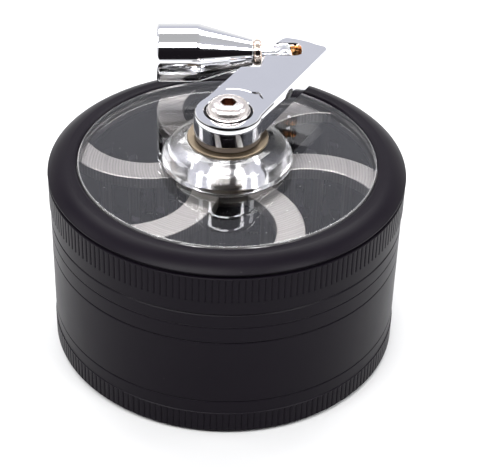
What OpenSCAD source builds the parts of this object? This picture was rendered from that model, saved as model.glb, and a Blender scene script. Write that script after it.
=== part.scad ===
// Hand-crank grinder, 63 mm class, with a clear window in the lid.
// Four stacked cups screw or sit together, and a folding crank on the lid turns a toothed rotor.
// Frame: Z is the crank's axis, pointing up, and z = 0 is the face the object stands on.

/* [Body] */
// Radius of the plain outside wall
body_r = 31.3; // [31.1:0.1:31.5]
// Height of the base cup's outside wall
base_h = 7.1; // [6.8:0.1:7.6]
// Height of the storage cup's outside wall
storage_h = 13.1; // [12.5:0.1:14]
// Height of the chamber's ring that shows between storage cup and lid
shoulder_h = 3.3; // [3:0.1:3.6]
// Height of the lid
lid_h = 13.1; // [12.8:0.1:13.4]
// Chamfer on the edges that meet at a seam
seam_chamfer = 0.2; // [0.1:0.05:0.3]

/* [Lid] */
// Radius of the bead round the lid's top edge, the widest part
bead_r = 31.5; // [31.5:0.1:31.8]
// Radius of the opening that holds the window
opening_r = 26.4; // [26.2:0.1:26.8]
// Height of the decorative groove above the lid's lower edge
lid_groove_up = 2.7; // [2.4:0.1:3]

/* [Window] */
// Thickness of the clear window
window_t = 3; // [2.8:0.1:3.2]
// Radius at the foot of the raised clear boss
boss_r = 11.5; // [11:0.1:12]
// Height of the boss above the window's face
boss_h = 4.1; // [4:0.1:4.2]

/* [Threads] */
// Outer radius of the screw skirts
skirt_r = 28.1; // [27.8:0.1:28.2]
// Radial clearance of the screw skirts
skirt_gap = 0.2; // [0.1:0.05:0.3]
// Length of the base cup's screw skirt
base_skirt = 3.2; // [3:0.1:3.4]
// Length of the chamber's screw skirt
chamber_skirt = 4.8; // [4.6:0.1:5]

/* [Chamber] */
// Radius of the cavities inside the cups
cavity_r = 26.4; // [26:0.1:26.4]
// Outer radius of the chamber's neck inside the lid
neck_r = 28.8; // [28.7:0.05:28.85]
// Height of the neck above the shoulder ring
neck_h = 6.5; // [6.2:0.1:6.6]
// Thickness of the chamber's floor
floor_t = 1.8; // [1.6:0.1:2]
// Width of a tooth along the radius
tooth_w = 2; // [1.6:0.1:2]
// Length of a tooth along its circle
tooth_l = 3.4; // [3:0.1:3.4]
// Diameter of a drop hole
drop_d = 2.8; // [2.4:0.1:3]

/* [Rotor] */
// Outer radius of the rotor
rotor_r = 27.2; // [27:0.1:27.3]
// Thickness of the rotor's plate
rotor_t = 2.2; // [2:0.1:2.4]
// Number of curved arms
rotor_arms = 6; // [6:1:6]
// Width of a curved arm
rotor_arm_w = 4.9; // [4.5:0.1:5.2]

/* [Crank] */
// Direction of the crank arm in plan, from +X towards +Y
arm_angle = 62.5; // [62:0.5:63]
// Thickness of the crank arm
arm_t = 4; // [3.8:0.1:4.2]
// Length of the crank arm from the crank's axis to its rounded end
arm_length = 29; // [28.5:0.1:29.5]
// Radius of the arm's hub end
hub_r = 6; // [5.9:0.1:6.1]
// Radius of the drive spindle
spindle_r = 3; // [2.9:0.1:3.1]
// Running clearance of spindles and pins, on the radius
running_gap = 0.05; // [0.03:0.01:0.08]

/* [Knob] */
// Direction of the slot and the folded knob in plan, measured from the X axis
slot_angle = 3.3; // [3:0.1:3.6]
// Width of the slot in the arm
slot_w = 4; // [3.9:0.1:4.1]
// Radius of the hinge pin
pin_r = 0.75; // [0.7:0.05:0.8]
// Largest radius of the grip
grip_r = 5.4; // [5.2:0.1:5.5]
// Radius of the grip's narrow end
grip_tip_r = 2.45; // [2.4:0.05:2.6]
// Distance from the hinge pin to the grip's narrow end
grip_start = 5.85; // [5.8:0.05:6]
// Distance from the hinge pin to the start of the grip's cylinder
grip_shoulder = 15.8; // [15.2:0.1:16.2]
// Distance from the hinge pin to the grip's far end
grip_end = 23.5; // [23.3:0.1:23.7]

/* [Hidden] */
$fn = 96;

// Heights of the seams and the lid's top
storage_z = base_h;
chamber_z = storage_z + storage_h;
lid_z = chamber_z + shoulder_h;
top_z = lid_z + lid_h;

// Base cup
base_floor = 1.4;
base_corner = 1.4;
bore_r = skirt_r + skirt_gap;
bore_slack = 0.5;

// Storage cup and sieve
skirt_t = 1.6;
ledge_r = 24.8;
ledge_t = 1.1;
ledge_z = storage_z + 0.3;
mesh_t = 0.2;
mesh_r = cavity_r - 0.2;
clip_wire_r = 0.3;
clip_groove = 0.4;

// Chamber cup
floor_z = chamber_z - chamber_skirt;
cavity_floor = floor_z + floor_t;
neck_top = lid_z + neck_h;
tooth_top = neck_top - 1;
chamber_tooth_rings = [[9, 3], [14, 6], [19, 6], [24, 6]];
chamber_tooth_turn = 36;
drop_rings = [[6, 6], [11.5, 12], [16.5, 18], [21.5, 24]];
o_ring_r = 0.5;
o_ring_groove = 0.9;
o_ring_groove_h = 1.2;
o_ring_z = lid_z + 3.2;

// Lid
lid_bore_r = 29;
window_top = top_z - 0.15;
window_under = window_top - window_t;
flange_t = 1.5;
flange_r = 28.7;
gasket_t = 0.3;
lip_under = window_under + flange_t + gasket_t;
clip_t = 0.8;
bush_r = 5;
bush_flange_r = 7.1;
bush_flange_t = 0.45;
boss_top = window_top + boss_h;

// Rotor, spindle and washers
end_play = 0.05;
upper_washer_t = 1;
lower_washer_t = 0.35;
rotor_top = window_under - end_play - lower_washer_t;
rotor_under = rotor_top - rotor_t;
rotor_hub_r = 9.6;
rotor_boss_r = 6;
rotor_boss_h = 1.4;
rotor_rim_w = 0.9;
rotor_arm_x = 14.5;
rotor_arm_y = -12.2;
rotor_arm_r = 14.4;
rotor_tooth_rings = [11.5, 16.5, 21.5];
rotor_tooth_tip = cavity_floor + 0.6;
spindle_z = rotor_under - rotor_boss_h;
thread_r = 2;
tapped_depth = 5;
lock_washer_t = 0.6;
screw_head_r = 3.8;
socket_af = 2.5;

// Crank arm
arm_under = boss_top + bush_flange_t + end_play + upper_washer_t;
arm_top = arm_under + arm_t;
arm_half_w = 5.6;
drive_af = 4.8;
drive_h = 1.8;
counterbore_r = 4.25;
counterbore_t = 0.3;

// Slot and hinge pin, in plan axes turned by slot_angle
pin_x = 11.05;
pin_z = arm_top - 1.3;
slot_y = 21.3;
slot_end_x = 13.9;
notch_y = 15.3;
pin_start_y = 9.2;
pin_end_y = 25;

// Knob, along its own axis: z counts from the hinge pin, and x points up when it is folded
knob_axis_up = 0.6;
eye_r = 1.6;
eye_w = 2.6;
stem_r = 0.9;
rod_r = 1.4;
collar_r = 2.43;
collar_t = 1.6;
collar_z = grip_start - end_play - collar_t;
recess_r = 3.3;
recess_t = 1.5;
rod_end = grip_end - recess_t + end_play;
knob_screw_r = 2.4;
knob_screw_h = 1.1;
knob_thread_r = 0.8;
knob_thread_depth = 5;
grip_chamfer = 0.7;

// Points on an arc from angle a0 to a1
function arc(cx, cy, r, a0, a1, n = 6) =
    [for (i = [0:n]) let (a = a0 + (a1 - a0) * i / n) [cx + r * cos(a), cy + r * sin(a)]];

// Solid of revolution about Z from (radius, height) points
module turned(points) {
    rotate_extrude($fn = 180) polygon(points);
}

module ring(r_out, r_in, z, h) {
    translate([0, 0, z]) difference() {
        cylinder(r = r_out, h = h);
        translate([0, 0, -1]) cylinder(r = r_in, h = h + 2);
    }
}

// A four-sided tooth, pointed along its circle
module tooth(radius, angle, z0, z1) {
    rotate([0, 0, angle]) translate([radius, 0, z0]) linear_extrude(z1 - z0)
        polygon([[-tooth_w / 2, 0], [0, -tooth_l / 2], [tooth_w / 2, 0], [0, tooth_l / 2]]);
}

module hex_socket(af, z, h) {
    translate([0, 0, z]) cylinder(d = af / cos(30), h = h, $fn = 6);
}

// Round bar with two flats, which drives the crank arm
module drive_bar(z, h) {
    translate([0, 0, z]) linear_extrude(h) intersection() {
        circle(r = spindle_r);
        rotate(arm_angle) square([4 * spindle_r, drive_af], center = true);
    }
}

// Cup that catches what falls through the sieve
module base_cup() {
    bore_floor = base_h - base_skirt - bore_slack;
    color("#18181a") turned(concat(
        [[0, 0], [body_r - seam_chamfer, 0], [body_r, seam_chamfer],
         [body_r, base_h - seam_chamfer], [body_r - seam_chamfer, base_h], [bore_r, base_h],
         [bore_r, bore_floor], [cavity_r, bore_floor]],
        arc(cavity_r - base_corner, base_floor + base_corner, base_corner, 0, -90),
        [[0, base_floor]]));
}

// Open-ended body: a screw skirt below, a ledge for the sieve, a screw bore above
module storage_cup() {
    bore_floor = chamber_z - chamber_skirt - bore_slack;
    skirt_z = storage_z - base_skirt;
    clip_z = ledge_z + mesh_t;
    color("#18181a") turned([
        [ledge_r, ledge_z], [ledge_r, ledge_z - ledge_t],
        [skirt_r - skirt_t, ledge_z - ledge_t], [skirt_r - skirt_t, skirt_z],
        [skirt_r - seam_chamfer, skirt_z], [skirt_r, skirt_z + seam_chamfer], [skirt_r, storage_z],
        [body_r - seam_chamfer, storage_z], [body_r, storage_z + seam_chamfer],
        [body_r, chamber_z - seam_chamfer], [body_r - seam_chamfer, chamber_z],
        [bore_r, chamber_z], [bore_r, bore_floor], [cavity_r, bore_floor],
        [cavity_r, clip_z + 2 * clip_wire_r], [cavity_r + clip_groove, clip_z + 2 * clip_wire_r],
        [cavity_r + clip_groove, clip_z], [cavity_r, clip_z], [cavity_r, ledge_z]]);
}

module sieve_mesh() {
    color("#b9b9b4") translate([0, 0, ledge_z]) cylinder(r = mesh_r, h = mesh_t);
}

// Open wire ring that springs into the groove above the sieve
module sieve_clip() {
    gap_angle = 14;
    color("#c8c8c6") translate([0, 0, ledge_z + mesh_t + clip_wire_r])
        rotate([0, 0, gap_angle]) rotate_extrude(angle = 360 - 2 * gap_angle)
            translate([cavity_r - clip_wire_r / 2, 0]) circle(r = clip_wire_r, $fn = 24);
}

// Grinding chamber: a screw skirt, the ring that shows, and a cup whose neck enters the lid
module chamber_cup() {
    groove_r = neck_r - o_ring_groove;
    color("#18181a") difference() {
        turned([
            [0, floor_z], [skirt_r - seam_chamfer, floor_z], [skirt_r, floor_z + seam_chamfer],
            [skirt_r, chamber_z], [body_r - seam_chamfer, chamber_z],
            [body_r, chamber_z + seam_chamfer], [body_r, lid_z - seam_chamfer],
            [body_r - seam_chamfer, lid_z], [neck_r, lid_z],
            [neck_r, o_ring_z - o_ring_groove_h / 2], [groove_r, o_ring_z - o_ring_groove_h / 2],
            [groove_r, o_ring_z + o_ring_groove_h / 2], [neck_r, o_ring_z + o_ring_groove_h / 2],
            [neck_r, neck_top - seam_chamfer], [neck_r - seam_chamfer, neck_top],
            [cavity_r, neck_top], [cavity_r, cavity_floor], [0, cavity_floor]]);
        for (row = drop_rings, i = [0:row[1] - 1])
            rotate([0, 0, (i + 0.5) * 360 / row[1]])
                translate([row[0], 0, floor_z - 1]) cylinder(d = drop_d, h = floor_t + 2);
    }
}

// Teeth that stand on the chamber's floor
module chamber_teeth() {
    color("#18181a") for (row = chamber_tooth_rings, i = [0:row[1] - 1])
        tooth(row[0], chamber_tooth_turn + i * 360 / row[1], cavity_floor, tooth_top);
}

// Rubber ring in the neck's groove, which steadies the lid
module lid_o_ring() {
    color("#101010") translate([0, 0, o_ring_z]) rotate_extrude()
        translate([neck_r - o_ring_groove + o_ring_r, 0]) circle(r = o_ring_r, $fn = 32);
}

module lid_ring() {
    groove_z = lid_z + lid_groove_up;
    groove_d = 0.25;
    shoulder_r = 1.9;
    bead_z = top_z - shoulder_r;
    relief_d = 0.45;
    relief_z = bead_z - 0.85;
    lip_r = 0.9;
    clip_groove_r = lid_bore_r + 0.5;
    color("#18181a") turned(concat(
        [[lid_bore_r, lid_z], [body_r - seam_chamfer, lid_z], [body_r, lid_z + seam_chamfer],
         [body_r, groove_z - groove_d], [body_r - groove_d, groove_z], [body_r, groove_z + groove_d],
         [body_r, relief_z], [body_r - relief_d, relief_z + 0.1], [body_r - relief_d, bead_z - 0.1],
         [bead_r, bead_z]],
        arc(bead_r - shoulder_r, bead_z, shoulder_r, 6, 84, 8),
        arc(opening_r + lip_r, top_z - lip_r, lip_r, 96, 180),
        [[opening_r, lip_under], [lid_bore_r, lip_under], [lid_bore_r, window_under],
         [clip_groove_r, window_under], [clip_groove_r, window_under - clip_t],
         [lid_bore_r, window_under - clip_t]]));
}

module window_gasket() {
    color("#101010") ring(flange_r, opening_r + 0.3, lip_under - gasket_t, gasket_t);
}

// Clear plate with a flange under the lip and a domed boss round the bush
module window() {
    rim_r = opening_r - 0.1;
    rim_chamfer = 0.3;
    flange_top = window_under + flange_t;
    foot_fillet = 0.3;
    dome_r = 6.58;
    color("#dfe6ea", 0.4) turned(concat(
        [[bush_r, window_under], [flange_r, window_under], [flange_r, flange_top],
         [rim_r, flange_top], [rim_r, window_top - rim_chamfer], [rim_r - rim_chamfer, window_top],
         [boss_r + foot_fillet, window_top], [boss_r, window_top + foot_fillet]],
        arc(boss_r - 5.8, boss_top - 6.2, dome_r, 28, 70, 8),
        [[bush_flange_r + 0.3, boss_top], [bush_r, boss_top]]));
}

// Open flat ring that holds the window up against the lip
module window_clip() {
    gap = 3;
    color("#8a8a88") difference() {
        ring(lid_bore_r + 0.4, rotor_r + 0.4, window_under - clip_t, clip_t);
        translate([-gap / 2, lid_bore_r - 9, window_under - clip_t - 1]) cube([gap, 20, clip_t + 2]);
    }
}

module bearing_bush() {
    bore = spindle_r + running_gap;
    edge = 0.1;
    flange_top = boss_top + bush_flange_t;
    color("#a9843f") turned([
        [bore, window_under], [bush_r, window_under], [bush_r, boss_top],
        [bush_flange_r, boss_top], [bush_flange_r, flange_top - edge],
        [bush_flange_r - edge, flange_top], [bore, flange_top]]);
}

module upper_washer() {
    color("#d9d5c8") ring(5.8, spindle_r, arm_under - upper_washer_t, upper_washer_t);
}

module lower_washer() {
    color("#d9d5c8") ring(5.6, spindle_r, rotor_top, lower_washer_t);
}

// Round shaft with two drive flats on top, tapped at both ends
module spindle() {
    color("#9c9c9a") difference() {
        union() {
            translate([0, 0, spindle_z]) cylinder(r = spindle_r, h = arm_under - spindle_z);
            drive_bar(arm_under - 0.5, drive_h + 0.5);
        }
        translate([0, 0, spindle_z - 1]) cylinder(r = thread_r, h = tapped_depth + 1);
        translate([0, 0, arm_under + drive_h - tapped_depth]) cylinder(r = thread_r, h = tapped_depth + 1);
    }
}

// One curved arm of the rotor: part of a ring about a point off the crank's axis
module rotor_arm() {
    intersection() {
        circle(r = rotor_r - 0.3);
        translate([rotor_arm_x, rotor_arm_y]) difference() {
            circle(r = rotor_arm_r + rotor_arm_w / 2);
            circle(r = rotor_arm_r - rotor_arm_w / 2);
        }
        polygon([[4, -1], [12, 8], [30, 8], [30, -14], [22, -14], [9, -3]]);
    }
}

// Direction of a rotor arm's centre line at a radius
function rotor_arm_turn(r) =
    let (d = norm([rotor_arm_x, rotor_arm_y]),
         c = (r * r + d * d - rotor_arm_r * rotor_arm_r) / (2 * r * d))
    atan2(rotor_arm_y, rotor_arm_x) + acos(c);

module rotor() {
    color("#c9c9c7") difference() {
        union() {
            translate([0, 0, rotor_under]) linear_extrude(rotor_t) union() {
                circle(r = rotor_hub_r);
                difference() {
                    circle(r = rotor_r);
                    circle(r = rotor_r - rotor_rim_w);
                }
                for (i = [0:rotor_arms - 1]) rotate(i * 360 / rotor_arms) rotor_arm();
            }
            translate([0, 0, spindle_z]) cylinder(r = rotor_boss_r, h = rotor_boss_h + 1);
        }
        translate([0, 0, spindle_z - 1]) cylinder(r = spindle_r, h = rotor_boss_h + rotor_t + 2);
    }
}

// Teeth that hang from the rotor's arms
module rotor_teeth() {
    color("#c9c9c7") for (r = rotor_tooth_rings, i = [0:rotor_arms - 1])
        tooth(r, rotor_arm_turn(r) + i * 360 / rotor_arms, rotor_tooth_tip, rotor_under);
}

module rotor_washer() {
    color("#b5b5b3") ring(4.6, thread_r + 0.1, spindle_z - lock_washer_t, lock_washer_t);
}

// Domed screw head at z, pointing up, with its shank below
module socket_screw(z, shank) {
    head_h = 2.2;
    rim_h = 0.4;
    color("#cfc9c4") translate([0, 0, z]) difference() {
        union() {
            turned(concat([[0, 0], [screw_head_r, 0], [screw_head_r, rim_h]],
                arc(0.9, -0.85, 3.15, 24, 75.5), [[0, head_h]]));
            translate([0, 0, -shank]) cylinder(r = thread_r, h = shank + 0.5);
        }
        hex_socket(socket_af, head_h - 1.3, 2);
    }
}

// Holds the rotor up on the spindle
module rotor_screw() {
    mirror([0, 0, 1]) socket_screw(-(spindle_z - lock_washer_t), lock_washer_t + tapped_depth - 0.4);
}

// Holds the crank arm down on the spindle
module crank_screw() {
    socket_screw(arm_top - counterbore_t, arm_t - counterbore_t - drive_h + tapped_depth - 0.4);
}

// Plan of the bar: the hub, sides that taper a little, and a rounded end
module arm_plan() {
    end_r = 11.8;
    waist = arm_half_w + 0.1;
    circle(r = hub_r);
    rotate(arm_angle) polygon(concat(
        [[0, -waist]],
        arc(arm_length - 1.4, -arm_half_w + 1.4, 1.4, -90, -15),
        arc(arm_length - end_r, -1, end_r, -10, 16),
        arc(arm_length - 2.6, 1.6, 2.4, 35, 95),
        [[arm_length / 2, arm_half_w], [0, waist]]));
}

// Slot for the knob's stem, and the wider notch where the collar lies when folded
module slot_plan() {
    corner_r = 1.1;
    near_y = slot_y - slot_w / 2;
    far_y = slot_y + slot_w / 2;
    rotate(slot_angle) polygon(concat(
        [[-10, notch_y], [6, notch_y], [7.05, near_y]],
        arc(slot_end_x - corner_r, near_y + corner_r, corner_r, -90, 0),
        arc(slot_end_x - corner_r, far_y - corner_r, corner_r, 0, 90),
        [[-10, far_y]]));
}

// Curved arrow beside the screw that shows which way to turn
module turn_arrow_plan() {
    arrow_r = 6.6;
    line_w = 0.28;
    barb = 1.7;
    tip = [arrow_r * cos(66), arrow_r * sin(66)];
    intersection() {
        difference() {
            circle(r = arrow_r + line_w / 2);
            circle(r = arrow_r - line_w / 2);
        }
        polygon([[0, 0], [20 * cos(66), 20 * sin(66)], [20 * cos(97), 20 * sin(97)]]);
    }
    for (a = [110, 200])
        translate(tip) rotate(a + 10) translate([0, -line_w / 2]) square([barb, line_w]);
}

module crank_arm() {
    arrow_t = 0.15;
    color("#d5d7dc") difference() {
        translate([0, 0, arm_under]) linear_extrude(arm_t) difference() {
            arm_plan();
            slot_plan();
        }
        drive_bar(arm_under - 1, drive_h + 1);
        translate([0, 0, arm_under]) cylinder(r = thread_r + 0.1, h = arm_t + 1);
        translate([0, 0, arm_top - counterbore_t]) cylinder(r = counterbore_r, h = 1);
        rotate([0, 0, slot_angle]) translate([pin_x, 0, pin_z])
            rotate([-90, 0, 0]) cylinder(r = pin_r, h = pin_end_y);
        translate([0, 0, arm_top - arrow_t]) linear_extrude(1) turn_arrow_plan();
    }
}

module hinge_pin() {
    color("#b5b5b3") rotate([0, 0, slot_angle]) translate([pin_x, pin_start_y, pin_z])
        rotate([-90, 0, 0]) cylinder(r = pin_r, h = pin_end_y - pin_start_y);
}

// Places the knob's parts: children run along z from the hinge pin, and x points up
module at_knob(up = knob_axis_up) {
    rotate([0, 0, slot_angle]) translate([pin_x, slot_y, pin_z + up])
        rotate([0, -90, 0]) children();
}

// Eye on the hinge pin, a thin neck, and the rod that the grip turns on
module knob_stem() {
    color("#dcdcdc") difference() {
        union() {
            at_knob(0) translate([0, eye_w / 2, 0]) rotate([90, 0, 0]) cylinder(r = eye_r, h = eye_w);
            at_knob() cylinder(r = stem_r, h = collar_z + 0.5);
            at_knob() translate([0, 0, collar_z]) cylinder(r = rod_r, h = rod_end - collar_z);
        }
        at_knob(0) translate([0, eye_w, 0]) rotate([90, 0, 0])
            cylinder(r = pin_r + running_gap, h = 2 * eye_w);
        at_knob() translate([0, 0, rod_end - knob_thread_depth])
            cylinder(r = knob_thread_r, h = knob_thread_depth + 1);
    }
}

module knob_collar() {
    edge = 0.6;
    color("#d9cfc8") at_knob() translate([0, 0, collar_z]) turned(concat(
        [[rod_r, 0]],
        arc(collar_r - edge, edge, edge, -90, 0, 4),
        arc(collar_r - edge, collar_t - edge, edge, 0, 90, 4),
        [[rod_r, collar_t]]));
}

module knob_screw() {
    edge = 0.3;
    driver_af = 1.5;
    color("#b5b5b3") at_knob() translate([0, 0, rod_end]) difference() {
        union() {
            turned([[0, 0], [knob_screw_r, 0], [knob_screw_r, knob_screw_h - edge],
                    [knob_screw_r - edge, knob_screw_h], [0, knob_screw_h]]);
            translate([0, 0, 0.3 - knob_thread_depth]) cylinder(r = knob_thread_r, h = knob_thread_depth);
        }
        hex_socket(driver_af, 0.3, 2);
    }
}

// Grip: a cone that widens into a short cylinder, recessed at the far end for the screw
module knob_grip() {
    tip_edge = 0.15;
    color("#dcdcdc") at_knob() turned([
        [rod_r + running_gap, grip_start], [grip_tip_r - tip_edge, grip_start],
        [grip_tip_r, grip_start + tip_edge], [grip_r, grip_shoulder],
        [grip_r, grip_end - grip_chamfer], [grip_r - grip_chamfer, grip_end],
        [recess_r, grip_end], [recess_r, grip_end - recess_t],
        [rod_r + running_gap, grip_end - recess_t]]);
}

base_cup();
storage_cup();
sieve_mesh();
sieve_clip();
chamber_cup();
chamber_teeth();
lid_o_ring();
lid_ring();
window_gasket();
window();
window_clip();
bearing_bush();
upper_washer();
lower_washer();
spindle();
rotor();
rotor_teeth();
rotor_washer();
rotor_screw();
crank_arm();
crank_screw();
hinge_pin();
knob_stem();
knob_collar();
knob_screw();
knob_grip();
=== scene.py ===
"""Looks of the hand-crank grinder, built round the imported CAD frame.

Lengths are in millimetres until a mesh is made. A turned profile is a row of (radius, height) points.
"""
import math

import bmesh
import bpy
import numpy as np
from mathutils import Matrix, Vector
from mathutils.geometry import delaunay_2d_cdt

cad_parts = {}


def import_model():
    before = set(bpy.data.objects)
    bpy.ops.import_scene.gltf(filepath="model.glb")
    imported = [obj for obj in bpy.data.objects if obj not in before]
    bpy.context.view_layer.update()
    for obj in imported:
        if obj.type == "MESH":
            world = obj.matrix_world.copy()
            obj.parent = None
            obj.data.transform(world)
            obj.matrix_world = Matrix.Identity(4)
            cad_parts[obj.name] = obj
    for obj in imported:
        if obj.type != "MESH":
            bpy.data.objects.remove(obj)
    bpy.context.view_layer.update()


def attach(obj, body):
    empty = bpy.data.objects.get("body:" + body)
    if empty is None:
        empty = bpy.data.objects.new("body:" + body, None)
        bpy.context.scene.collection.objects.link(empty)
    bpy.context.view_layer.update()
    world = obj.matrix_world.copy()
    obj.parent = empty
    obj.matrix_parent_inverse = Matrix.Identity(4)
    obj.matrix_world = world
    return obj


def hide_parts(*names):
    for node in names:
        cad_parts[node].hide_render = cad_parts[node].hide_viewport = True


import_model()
MM = 0.001
TAU = 2 * math.pi

# ---------------------------------------------------------------- sizes that several parts share
# A name that ends in TOP or UNDER is a height above the floor at rest.
BODY, BEAD = 31.3, 31.5                    # radii of the plain walls and of the lid's bead
SKIRT, BORE, CAVITY = 28.1, 28.3, 26.4     # radii of a male thread, a female thread and a cup's inside
BASE_TOP, STORE_TOP, RING_TOP = 7.1, 20.2, 23.5    # where the stacked cups and the lid meet
FLOOR_UNDER, FLOOR_TOP = 15.4, 17.2        # the chamber's floor
NECK, NECK_TOP = 28.8, 30.0                # the chamber's neck inside the lid
ROTOR_UNDER, ROTOR_TOP = 30.85, 33.05
WINDOW_UNDER, WINDOW_TOP = 33.45, 36.45
FLANGE_R, FLANGE_TOP, GASKET_TOP = 28.7, 34.95, 35.25    # the window's flange and the gasket on it
BUSH_R, BOSS_TOP = 5.0, 40.55              # the bearing bush and the window's boss round it
SHAFT, FLAT, TAPPED = 3.0, 2.4, 2.0        # radii of the spindle, to its flats, and of its tapped holes
ARM_UNDER, ARM_TOP = 42.05, 46.05
ARM_ANGLE, SLOT_ANGLE = 62.5, 3.3          # degrees about the crank's axis
PIN_R = 0.75                               # radius of the knob's hinge pin


# ---------------------------------------------------------------- outlines
def circle(r, n=96, cx=0, cy=0):
    return [(cx + r * math.cos(TAU * i / n), cy + r * math.sin(TAU * i / n)) for i in range(n)]


def arc(cx, cy, r, a0, a1, n):
    """Points on a circle about (cx, cy), from angle a0 to angle a1 in degrees."""
    angles = [math.radians(a0 + (a1 - a0) * i / n) for i in range(n + 1)]
    return [(cx + r * math.cos(a), cy + r * math.sin(a)) for a in angles]


def hexagon(across, n):
    """A hexagon of that width across its flats, as n points at even angles."""
    points = []
    for i in range(n):
        angle = TAU * i / n
        reach = across / 2 / math.cos(angle % (TAU / 6) - TAU / 12)
        points.append((reach * math.cos(angle), reach * math.sin(angle)))
    return points


def turned(points, angle):
    """Turns (x, y) points by an angle in degrees."""
    c, s = math.cos(math.radians(angle)), math.sin(math.radians(angle))
    return [(x * c - y * s, x * s + y * c) for x, y in points]


def flatted():
    """The spindle's round section with its two flats."""
    return turned([(x, max(-FLAT, min(FLAT, y))) for x, y in circle(SHAFT)], ARM_ANGLE)


def inset(points, d):
    """Moves a counterclockwise outline inwards by d."""
    if not d:
        return list(points)
    out = []
    n = len(points)
    for i in range(n):
        p, q, r = (Vector(points[k % n]) for k in (i - 1, i, i + 1))
        a, b = (q - p).normalized(), (r - q).normalized()
        na, nb = Vector((-a.y, a.x)), Vector((-b.y, b.x))
        m = (na + nb).normalized()
        m *= d / max(0.3, m.dot(na))
        out.append((q.x + m.x, q.y + m.y))
    return out


def fillet(points, closed=True, step=10):
    """Rounds the corners of a path of (x, y) or (x, y, radius), with a point every step degrees."""
    out = []
    n = len(points)
    for i, p in enumerate(points):
        radius = p[2] if len(p) > 2 else 0
        here = Vector(p[:2])
        if not radius or (not closed and i in (0, n - 1)):
            out.append((here.x, here.y))
            continue
        a = (Vector(points[i - 1][:2]) - here).normalized()
        b = (Vector(points[(i + 1) % n][:2]) - here).normalized()
        half = a.angle(b) / 2
        centre = here + (a + b).normalized() * radius / math.sin(half)
        tangent = radius / math.tan(half)
        s, e = here + a * tangent - centre, here + b * tangent - centre
        start = math.atan2(s.y, s.x)
        turn = (math.atan2(e.y, e.x) - start + math.pi) % TAU - math.pi
        steps = max(2, math.ceil(abs(math.degrees(turn)) / step))
        out += arc(centre.x, centre.y, radius, math.degrees(start), math.degrees(start + turn), steps)
    return out


def cross(a, b, c, d):
    """Where the line through a and b meets the line through c and d."""
    a, b, c, d = (Vector(p) for p in (a, b, c, d))
    u, v = b - a, d - c
    t = ((c.x - a.x) * v.y - (c.y - a.y) * v.x) / (u.x * v.y - u.y * v.x)
    return (a.x + u.x * t, a.y + u.y * t)


# ---------------------------------------------------------------- meshes
def clean_object(name, verts, faces, merge):
    """An object whose points closer than merge are joined and whose faces look outwards."""
    mesh = bpy.data.meshes.new(name)
    mesh.from_pydata(verts, [], faces)
    bm = bmesh.new()
    bm.from_mesh(mesh)
    bmesh.ops.remove_doubles(bm, verts=bm.verts, dist=merge)
    bmesh.ops.recalc_face_normals(bm, faces=bm.faces)
    bm.to_mesh(mesh)
    bm.free()
    obj = bpy.data.objects.new(name, mesh)
    bpy.context.scene.collection.objects.link(obj)
    return obj


def add_piece(name, verts, faces, body, nodes, slot, material, sharp=30):
    """A finished piece. Edges that bend by more than sharp degrees stay sharp."""
    obj = clean_object(name, [(x * MM, y * MM, z * MM) for x, y, z in verts], faces, 2e-7)
    obj.data.polygons.foreach_set("use_smooth", [True] * len(obj.data.polygons))
    obj.data.set_sharp_from_angle(angle=math.radians(sharp))
    obj.data.materials.append(material)
    even = obj.modifiers.new("even_normals", "WEIGHTED_NORMAL")
    even.keep_sharp = True
    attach(obj, body)
    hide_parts(*nodes)


class Shape:
    """Collects loops, walls between them, and caps."""

    def __init__(self):
        self.v, self.f = [], []

    def add(self, verts, faces):
        k = len(self.v)
        self.v += verts
        self.f += [tuple(i + k for i in face) for face in faces]

    def loop(self, points, z):
        return self.ring([(x, y, z) for x, y in points])

    def ring(self, points):
        start = len(self.v)
        self.v += points
        return list(range(start, len(self.v)))

    def wall(self, a, b):
        n = len(a)
        for i in range(n):
            j = (i + 1) % n
            self.f.append((a[i], a[j], b[j], b[i]))

    def walls(self, rings):
        for a, b in zip(rings, rings[1:]):
            self.wall(a, b)

    def cap(self, outer, *holes):
        """Fills the flat area between an outer loop and any holes in it."""
        ids, edges = [], []
        for ring in (outer, *holes):
            k = len(ids)
            ids += ring
            edges += [(k + i, k + (i + 1) % len(ring)) for i in range(len(ring))]
        flat = [Vector(self.v[i][:2]) for i in ids]
        verts, _, faces, from_verts, _, _ = delaunay_2d_cdt(flat, edges, [], 1, 1e-7)
        # A triangle inside an odd number of loops is between the outer loop and the holes.
        place = np.array([list(p) for p in verts])
        middle = np.array([place[list(f)].mean(axis=0) for f in faces])
        a = np.array([list(flat[i]) for i, _ in edges])
        b = np.array([list(flat[j]) for _, j in edges])
        x, y = middle[:, 0][:, None], middle[:, 1][:, None]
        spans = (a[:, 1] > y) != (b[:, 1] > y)
        rise = np.where(a[:, 1] == b[:, 1], 1, b[:, 1] - a[:, 1])
        hits = spans & (x < (b[:, 0] - a[:, 0]) * (y - a[:, 1]) / rise + a[:, 0])
        for face, odd in zip(faces, hits.sum(axis=1) % 2):
            if odd:
                self.f.append(tuple(ids[from_verts[i][0]] for i in face))

    def stack(self, outline, levels):
        """Walls through (z, inset) levels. Returns the first and last loop."""
        rings = [self.loop(inset(outline, d), z) for z, d in levels]
        self.walls(rings)
        return rings[0], rings[-1]

    def solid(self, levels):
        """A closed solid through (outline, z) levels."""
        rings = [self.loop(outline, z) for outline, z in levels]
        self.walls(rings)
        self.cap(rings[0])
        self.cap(rings[-1])

    def wire(self, sections):
        """A closed bar through sections of (x, y, z) points."""
        rings = [self.ring(section) for section in sections]
        self.walls(rings)
        self.f += [tuple(rings[0]), tuple(rings[-1])]


KNURLS = 182
# One knurl's groove: parts of its width with the share of the depth there
GROOVE = ((0, 1), (0.06, 0.8), (0.12, 0.25), (0.18, 0), (0.5, 0), (0.82, 0), (0.88, 0.25), (0.94, 0.8))
THREAD_PITCH, THREAD_DEPTH = 1.5, 0.32


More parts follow.
